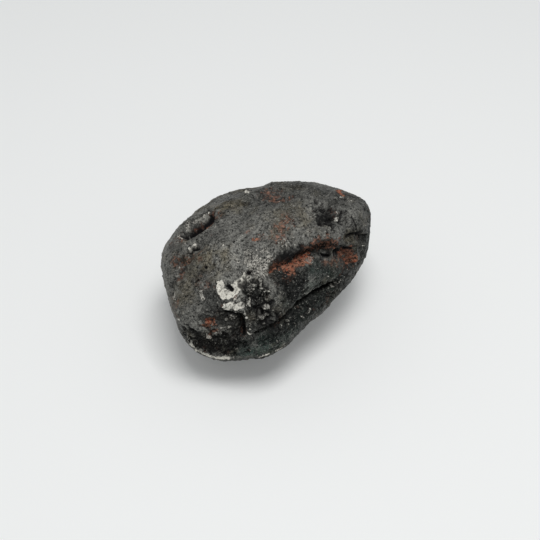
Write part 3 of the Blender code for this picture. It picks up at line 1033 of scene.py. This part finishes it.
    def scale(self, points: Array, tints: dict[Tint, Array]) -> Array:
        """Breaks the crust into low scales.

        Args:
            points: the points on the worn body.
            tints: the tints, of which GAP is changed in place.

        Returns:
            The height in mm, in patches where slow noise is high. The joints round the lower scales
            are painted dark as shade.
        """
        patch = lattice_noise(points / self.scale_patch, Seed.SCALE_PATCH)
        loose = smooth(0.5 + self.scale_patchiness * patch)
        loose *= 1 - self.scale_polish * tints[POLISH]
        height, joint, level = self.scales.over(points)
        strengthen(tints[GAP], self.scale_black * loose * joint * (level < self.scales.flush))
        return loose * height

    def pierce(self, points: Array, tints: dict[Tint, Array]) -> Array:
        """Pierces the crust with pores.

        Args:
            points: the points on the worn body.
            tints: the tints, of which GAP is changed in place.

        Returns:
            The height in mm: a bell round each seed whose level is among the lowest.
        """
        cells = cell_noise(points, self.pore_spacing, Seed.PORE)
        pore = Profile.ROUND.at(cells.nearest / self.pore_radius) * (cells.level < self.pore_share)
        pore *= 1 - self.pore_polish * tints[POLISH]
        # Painted shade: the pores are painted black
        strengthen(tints[GAP], self.pore_black * pore)
        return -self.pore_depth * pore

    def crease(self, points: Array, tints: dict[Tint, Array]) -> Array:
        """Creases the crust along hairlines.

        Args:
            points: the points on the worn body.
            tints: the tints, of which GAP is changed in place.

        Returns:
            The height in mm: a bell over how far a noise is from nought, so that the creases
            follow the lines where it changes sign.
        """
        bend = np.abs(layered_noise(points, self.crease_length, Seed.CREASE, 2))
        patch = lattice_noise(points / self.crease_patch, Seed.CREASE_PATCH)
        patch += self.crease_crumble * tints[CRUMBLE] + self.crease_dark_and_shade * tints[DUSK]
        crease = Profile.ROUND.at(bend / self.crease_width)
        crease *= smooth((patch - self.crease_start) / self.crease_fade)
        # Painted shade: the creases are painted black
        strengthen(tints[GAP], self.crease_black * crease)
        return -self.crease_depth * crease

    def roughen(self, points: Array, tints: dict[Tint, Array]) -> Array:
        """Gives the crust its ripples and grain.

        Args:
            points: the points on the worn body.
            tints: the tints.

        Returns:
            The height in mm, with the thickness of the mineral crust: two noises, stronger or
            weaker by the tints, and an eased step where cream begins.
        """
        rough = 1 + sum(share * tints[tint] for tint, share in self.rougher)
        waves = self.ripple_height * lattice_noise(points / self.ripple_length, Seed.RIPPLE)
        waves += self.grain_height * layered_noise(points, self.grain_length, Seed.GRAIN, 2)
        return rough * waves + self.crust_height * smooth(tints[CREAM] / self.crust_full)

    def build(self) -> bpy.types.Object:
        """Builds the stone.

        Returns:
            The piece, its mesh in metres, with a tint in each of the mesh's attributes.
        """
        cube_points, quads = cube_grid(self.cells)
        points, normals = self.body.surface(self.directions(cube_points))
        skin = Skin(self.body, points, normals)
        tints = self.stains(skin)
        self.scatter(points, tints)
        height = self.form(skin) + self.cut(skin, tints[GAP])
        for relief in (self.chip, self.scale, self.pierce, self.crease, self.roughen):
            height += relief(points, tints)
        straight_down = ((0, -90),)
        sole, gap, _ = skin.gap(straight_down, self.sole_clear, points)
        height[sole] *= 1 - Profile.ROUND.at(gap / self.sole_clear)
        places = points + normals * height[:, None] + np.array(self.body.centre)
        places[:, 2] = np.maximum(places[:, 2], 0)
        mesh = bpy.data.meshes.new(self.name)
        mesh.from_pydata((places * MM).tolist(), [], quads.tolist())
        for tint, amount in tints.items():
            layer = mesh.attributes.new(tint.value, "FLOAT", "POINT")
            layer.data.foreach_set("value", amount.astype(np.float32))
        mesh.shade_smooth()
        mesh.validate()
        piece = bpy.data.objects.new(self.name, mesh)
        bpy.context.scene.collection.objects.link(piece)
        return piece

    def dress(self, piece: bpy.types.Object, finish: "IronCrust") -> None:
        """Gives the stone its material and tells the frame what it stands for.

        Args:
            piece: the stone.
            finish: what it is made of.
        """
        piece.data.materials.append(finish.material())
        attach(piece, "root")
        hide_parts("meteorite")


def linear(colour: str) -> tuple[float, float, float, float]:
    """Turns a colour to what a shader takes.

    Args:
        colour: sRGB hex, such as #4a4a4b.

    Returns:
        Linear red, green and blue, by the sRGB curve, and an alpha of one.
    """
    shares = (int(colour[i : i + 2], 16) / 255 for i in (1, 3, 5))
    red, green, blue = (s / 12.92 if s <= 0.04045 else ((s + 0.055) / 1.055) ** 2.4 for s in shares)
    return red, green, blue, 1.0


@dataclass(frozen=True)
class NodeSheet:
    """A material's node tree, to which nodes are added one by one."""

    tree: bpy.types.NodeTree

    def add(
        self,
        kind: str,
        settings: dict[str, object] | None = None,
        inputs: dict[int | str, object] | None = None,
        stops: Ramp = (),
        out: int | str = 0,
    ) -> Socket:
        """Adds a node.

        Args:
            kind: the node's type, without the ShaderNode that it begins with.
            settings: its own settings by name.
            inputs: a socket to link, a hex colour or a value, by input name or number.
            stops: a ramp's (position, hex colour) pairs, rising; two at one place are a step.
            out: the output wanted, by name or number.

        Returns:
            The output's socket.
        """
        node = self.tree.nodes.new("ShaderNode" + kind)
        for name, value in (settings or {}).items():
            setattr(node, name, value)
        for name, value in (inputs or {}).items():
            if isinstance(value, Socket):
                self.tree.links.new(value, node.inputs[name])
            else:
                node.inputs[name].default_value = linear(value) if isinstance(value, str) else value
        for position, _ in stops[1:-1]:
            node.color_ramp.elements.new(position)
        for number, (position, colour) in enumerate(stops):
            element = node.color_ramp.elements[number]
            element.position, element.color = position, linear(colour)
        return node.outputs[out]


# Settings of the nodes that mix colours, and the numbers of their sockets, whose names repeat
BLEND = {"data_type": "RGBA"}
VEIL = {"data_type": "RGBA", "blend_type": "MULTIPLY"}
SHARE, UNDER, OVER, MIXED = 0, 6, 7, 2


def stretch(value: Socket, taken: Pair, given: Pair) -> dict[str, object]:
    """The inputs of a Map Range node that turns one range of a value into another."""
    ranges = {"From Min": taken[0], "From Max": taken[1], "To Min": given[0], "To Max": given[1]}
    return {"Value": value, **ranges}


@dataclass(frozen=True)
class Blobs:
    """A noise of bent blobs: their size in mm, its layers of detail, and how bent they are."""

    size: float
    detail: float
    bend: float = 0.9
    roughness: float = 0.6

    def on(self, mm: Socket) -> dict[str, object]:
        """The inputs of the noise's node, on coordinates in mm."""
        shape = {"Detail": self.detail, "Roughness": self.roughness, "Distortion": self.bend}
        return {"Vector": mm, "Scale": 1 / self.size, **shape}


@dataclass(frozen=True)
class Ground:
    """What the layers of the crust share: how nodes are added, and sockets that they read.

    `mm` is the place on the stone in mm, and `grain` and `cluster` the two finest noises."""

    add: Callable[..., Socket]
    mm: Socket
    tint: dict[Tint, Socket]
    grain: Socket
    cluster: Socket


@dataclass(frozen=True)
class IronCrust:
    """Meteoritic iron under a weathered oxide crust, never polished.

    The crust is near-black magnetite and goethite with a dull metallic gloss: it shows as a
    dark grey of bright and dark grains under half a millimetre across. Rust is matte, from
    maroon to orange; the mineral crust is a chalky cream; low on the front a grey-green tint
    lies over the iron. Metallic and roughness are those of heavily oxidised iron."""

    name: str = "oxidised_meteoritic_iron"

    # Noises of the grains, their clusters, slow clouds, scuffs and rust, and sizes in mm
    grain: Blobs = Blobs(0.4, 2.0)
    cluster: Blobs = Blobs(0.85, 3.0)
    cloud: Blobs = Blobs(5.5, 3.0)
    scuff: Blobs = Blobs(1.5, 2.0, bend=1.2, roughness=0.5)
    rust: Blobs = Blobs(0.9, 4.0)
    glint_mm: float = 0.5
    bump_mm: float = 0.16

    # Greys of the grains. The ramp falls back at its end, so that no grain turns white
    greys: Ramp = ((0.29, "#050505"), (0.72, "#9f9e97"), (0.72, "#464745"))
    cluster_weight: float = 0.85
    cloud_span: Pair = (0.35, 0.65)
    cloud_shades: Pair = (0.54, 1.1)

    # What the tints multiply the grey by (the darker iron's veil partly painted shade), and the black
    # painted as shade in gaps
    veils: tuple[tuple[Tint, str], ...] = ((OLIVE, "#e4d2ab"), (TEAL, "#88b0a9"), (DUSK, "#545858"))
    gap_shade_colour: str = "#060607"

    # Painted glints of the metal grain, as bright specks in the colour: the cell level that one needs,
    # and how far sparkle lowers it
    glint_colour: str = "#a9a79f"
    glint_level: float = 0.985
    glint_sparkle: float = 0.31
    glint_edge: Pair = (0.25, 0.45)
    glint_share: float = 0.75

    # Scuffs: half the width of a line, as a step of its noise, and how pale it is
    scuff_colour: str = "#7f7f7b"
    scuff_width: float = 0.022
    scuff_share: float = 0.55

    # Rust from thin to thick, how strongly noise breaks it up, and how well it covers
    rusts: Ramp = ((0.05, "#1c0d0a"), (1.0, "#b27d64"), (1.0, "#91442d"))
    rust_breakup: Pair = (5.0, -2.75)
    rust_edge: Pair = (-0.5, 0.3)
    rust_cover: float = 0.85
    rust_gain: float = 1.6

    # Mineral crust from thin to thick, how strongly grain breaks it up, and its edge
    chalks: Ramp = ((0.25, "#544f47"), (1.0, "#f2efe4"), (1.0, "#dad6ca"))
    chalk_breakup: Pair = (2.2, -1.1)
    chalk_edge: Pair = (0.3, 0.5)

    # Roughness of the iron from glossy to dull over its clusters, and of all that is matte
    cluster_span: Pair = (0.3, 0.7)
    iron_roughness: Pair = (0.3, 0.64)
    matte_roughness: float = 0.92
    iron_metallic: float = 0.5
    specular_level: float = 0.2

    def material(self) -> bpy.types.Material:
        """Makes the material.

        Returns:
            The material, with its colours, gloss and bump made by nodes.
        """
        made = bpy.data.materials.new(self.name)
        made.use_nodes = True
        add = NodeSheet(made.node_tree).add
        place = add("TexCoord", out="Object")
        mm = add("VectorMath", {"operation": "SCALE"}, {0: place, "Scale": 1 / MM})
        tint = {t: add("Attribute", {"attribute_name": t.value}, out="Fac") for t in Tint}
        grain = add("TexNoise", {}, self.grain.on(mm))
        cluster = add("TexNoise", {}, self.cluster.on(mm))
        ground = Ground(add, mm, tint, grain, cluster)
        colour = self.scuffed(ground, self.glinted(ground, self.greyed(ground)))
        colour, rusty = self.rusted(ground, colour)
        colour, chalky = self.chalked(ground, colour)
        # Painted shade: black over cuts, pores, creases, chip joints and under the brow
        black = {SHARE: tint[GAP], UNDER: colour, OVER: self.gap_shade_colour}
        matte = add("Math", {"operation": "MAXIMUM"}, {0: rusty, 1: chalky})
        matte = add("Math", {"operation": "MAXIMUM"}, {0: matte, 1: tint[GAP]})
        gloss = add("MapRange", {}, stretch(cluster, self.cluster_span, self.iron_roughness))
        relief = {"Strength": 1.0, "Distance": self.bump_mm * MM, "Height": grain}
        surface = {
            "Base Color": add("Mix", BLEND, black, out=MIXED),
            "Roughness": add("Mix", {}, {0: matte, 2: gloss, 3: self.matte_roughness}),
            "Metallic": add("Mix", {}, {0: matte, 2: self.iron_metallic, 3: 0.0}),
            "Normal": add("Bump", {}, relief),
        }
        shader = made.node_tree.nodes["Principled BSDF"]
        for name, socket in surface.items():
            made.node_tree.links.new(socket, shader.inputs[name])
        shader.inputs["Specular IOR Level"].default_value = self.specular_level
        return made

    def greyed(self, ground: Ground) -> Socket:
        """The crust's colour: grains, clusters and clouds of grey under its tints, of which the darker
        iron is partly painted shade.

        Args:
            ground: what the layers share.

        Returns:
            The colour's socket. The ramp reads the grain moved by the cluster's step from a half.
        """
        add, weight = ground.add, self.cluster_weight
        moved = {0: ground.cluster, 1: weight, 2: -weight / 2}
        level = add("Math", {"operation": "MULTIPLY_ADD"}, moved)
        level = add("Math", {"operation": "ADD"}, {0: level, 1: ground.grain})
        colour = add("ValToRGB", {}, {0: level}, self.greys)
        for layer, veil in self.veils:
            veiled = {SHARE: ground.tint[layer], UNDER: colour, OVER: veil}
            colour = add("Mix", VEIL, veiled, out=MIXED)
        cloud = add("TexNoise", {}, self.cloud.on(ground.mm))
        shade = add("MapRange", {}, stretch(cloud, self.cloud_span, self.cloud_shades))
        return add("VectorMath", {"operation": "SCALE"}, {0: colour, "Scale": shade})

    def glinted(self, ground: Ground, under: Socket) -> Socket:
        """Painted glints over a colour: a soft bright disc in each cell of a high enough level.

        Args:
            ground: what the layers share.
            under: the colour below.

        Returns:
            The colour's socket.
        """
        add = ground.add
        cell = add("TexVoronoi", {}, {"Vector": ground.mm, "Scale": 1 / self.glint_mm}, out="Color")
        level = add("SeparateColor", {}, {0: cell})
        lowered = {0: ground.tint[SPARKLE], 1: -self.glint_sparkle, 2: self.glint_level}
        needed = add("Math", {"operation": "MULTIPLY_ADD"}, lowered)
        chosen = add("Math", {"operation": "GREATER_THAN"}, {0: level, 1: needed})
        distance = cell.node.outputs["Distance"]
        disc = add("MapRange", {}, stretch(distance, self.glint_edge, (self.glint_share, 0.0)))
        share = add("Math", {"operation": "MULTIPLY"}, {0: chosen, 1: disc})
        return add("Mix", BLEND, {SHARE: share, UNDER: under, OVER: self.glint_colour}, out=MIXED)

    def scuffed(self, ground: Ground, under: Socket) -> Socket:
        """Thin pale scuffs over a colour, along the lines where a bent noise is a half.

        Args:
            ground: what the layers share.
            under: the colour below.

        Returns:
            The colour's socket.
        """
        add = ground.add
        bent = add("TexNoise", {}, self.scuff.on(ground.mm))
        step = add("Math", {"operation": "SUBTRACT"}, {0: bent, 1: 0.5})
        step = add("Math", {"operation": "ABSOLUTE"}, {0: step})
        share = add("MapRange", {}, stretch(step, (0.0, self.scuff_width), (self.scuff_share, 0.0)))
        return add("Mix", BLEND, {SHARE: share, UNDER: under, OVER: self.scuff_colour}, out=MIXED)

    def rusted(self, ground: Ground, under: Socket) -> tuple[Socket, Socket]:
        """Rust over a colour: maroon where it is thin, orange where it is thick.

        Args:
            ground: what the layers share.
            under: the colour below.

        Returns:
            The colour's socket, and the share of the surface that rust covers.
        """
        add, rust = ground.add, ground.tint[RUST]
        gain, shift = self.rust_breakup
        patch = add("TexNoise", {}, self.rust.on(ground.mm))
        thick = add("Math", {"operation": "MULTIPLY_ADD"}, {0: patch, 1: gain, 2: shift})
        thick = add("Math", {"operation": "ADD"}, {0: thick, 1: rust})
        hue = add("ValToRGB", {}, {0: thick}, self.rusts)
        cover = add("MapRange", {}, stretch(thick, self.rust_edge, (0.0, self.rust_cover)))
        for factor in (rust, self.rust_gain):
            times = {"operation": "MULTIPLY", "use_clamp": True}
            cover = add("Math", times, {0: cover, 1: factor})
        return add("Mix", BLEND, {SHARE: cover, UNDER: under, OVER: hue}, out=MIXED), cover

    def chalked(self, ground: Ground, under: Socket) -> tuple[Socket, Socket]:
        """Mineral crust over a colour: grey-beige where it is thin, cream where it is thick.

        Args:
            ground: what the layers share.
            under: the colour below.

        Returns:
            The colour's socket, and the share of the surface that the crust covers.
        """
        add = ground.add
        gain, shift = self.chalk_breakup
        thick = add("Math", {"operation": "MULTIPLY_ADD"}, {0: ground.grain, 1: gain, 2: shift})
        thick = add("Math", {"operation": "ADD"}, {0: thick, 1: ground.tint[CREAM]})
        hue = add("ValToRGB", {}, {0: thick}, self.chalks)
        cover = add("MapRange", {}, stretch(thick, self.chalk_edge, (0.0, 1.0)))
        return add("Mix", BLEND, {SHARE: cover, UNDER: under, OVER: hue}, out=MIXED), cover


@dataclass(frozen=True)
class PhotoCamera:
    """The photograph's view: from the front left, looking down, through a longish lens."""

    azimuth: float = -45.0
    elevation: float = 45.0
    lens_mm: float = 85.0
    sensor_mm: float = 36.0
    distance_mm: float = 318.75
    aim_mm: tuple[float, float, float] = (-2.1, -2.9, 17.8)
    shift_right_mm: float = 0.75
    shift_up_mm: float = 0.25
    nearest_m: float = 0.01

    def place(self) -> bpy.types.Object:
        """Makes the camera the scene's own.

        Returns:
            The camera. It looks down on the aim point from the elevation, with its right hand
            towards the azimuth, and is then moved sideways by the shifts.
        """
        turn, rise = np.radians(self.azimuth), np.radians(self.elevation)
        right = Vector((np.cos(turn), np.sin(turn), 0))
        back = Vector((np.sin(turn) * np.cos(rise), -np.cos(turn) * np.cos(rise), np.sin(rise)))
        up = back.cross(right)
        aim = Vector(self.aim_mm) + right * self.shift_right_mm + up * self.shift_up_mm
        lens = bpy.data.cameras.new("photo_camera")
        lens.lens, lens.sensor_width, lens.clip_start = self.lens_mm, self.sensor_mm, self.nearest_m
        camera = bpy.data.objects.new("photo_camera", lens)
        turned = Matrix((right, up, back)).transposed().to_4x4()
        camera.matrix_world = Matrix.Translation((aim + back * self.distance_mm) * MM) @ turned
        bpy.context.scene.collection.objects.link(camera)
        bpy.context.scene.camera = camera
        return camera


@dataclass(frozen=True)
class Lamp:
    """A square soft light: where it hangs and how wide it is in mm, and its power in watts."""

    name: str
    place_mm: tuple[float, float, float]
    width_mm: float
    power: float


@dataclass(frozen=True)
class Studio:
    """A plain pale floor under soft light from above.

    The floor glows faintly, in place of the light that the walls of a room would send it."""

    floor_colour: str = "#e9eae9"
    floor_roughness: float = 0.8
    floor_mm: float = 3000.0
    sky_colour: str = "#eef0f2"
    sky_strength: float = 0.42
    floor_glow: float = 0.12
    lamps: tuple[Lamp, ...] = (Lamp("overhead_softbox", (-40.0, -115.0, 590.0), 260.0, 2.15),)

    def build(self) -> None:
        """Makes the floor, the sky and the lamps."""
        self.lay_floor()
        self.raise_sky()
        for lamp in self.lamps:
            self.hang(lamp)
        bpy.context.scene.view_settings.view_transform = "Standard"

    def lay_floor(self) -> None:
        """Lays a square of matte paper level with the stone's sole."""
        half = self.floor_mm / 2 * MM
        mesh = bpy.data.meshes.new("floor")
        corners = [(-half, -half, 0), (half, -half, 0), (half, half, 0), (-half, half, 0)]
        mesh.from_pydata(corners, [], [(0, 1, 2, 3)])
        floor = bpy.data.objects.new("floor", mesh)
        bpy.context.scene.collection.objects.link(floor)
        paper = bpy.data.materials.new("matte_paper")
        paper.use_nodes = True
        shader = paper.node_tree.nodes["Principled BSDF"]
        shader.inputs["Base Color"].default_value = linear(self.floor_colour)
        shader.inputs["Roughness"].default_value = self.floor_roughness
        shader.inputs["Emission Color"].default_value = linear(self.floor_colour)
        shader.inputs["Emission Strength"].default_value = self.floor_glow
        mesh.materials.append(paper)

    def raise_sky(self) -> None:
        """Lights the scene evenly from all round."""
        world = bpy.data.worlds.new("soft_sky")
        world.use_nodes = True
        background = world.node_tree.nodes["Background"]
        background.inputs["Color"].default_value = linear(self.sky_colour)
        background.inputs["Strength"].default_value = self.sky_strength
        bpy.context.scene.world = world

    def hang(self, lamp: Lamp) -> None:
        """Hangs one lamp, turned to face the stone.

        Args:
            lamp: the lamp.
        """
        light = bpy.data.lights.new(lamp.name, "AREA")
        light.shape, light.size, light.energy = "SQUARE", lamp.width_mm * MM, lamp.power
        holder = bpy.data.objects.new(lamp.name, light)
        place = Vector(lamp.place_mm) * MM
        holder.location = place
        holder.rotation_euler = place.to_track_quat("Z", "Y").to_euler()
        bpy.context.scene.collection.objects.link(holder)


def main() -> None:
    """Builds the studio, the camera and the stone, and reports the stone."""
    logging.basicConfig(level=logging.INFO, format="%(name)s: %(message)s")
    Studio().build()
    PhotoCamera().place()
    stone = Stone()
    piece = stone.build()
    stone.dress(piece, IronCrust())
    LOG.info("%s: %d faces of four sides", piece.name, len(piece.data.polygons))


if __name__ == "__main__":
    main()
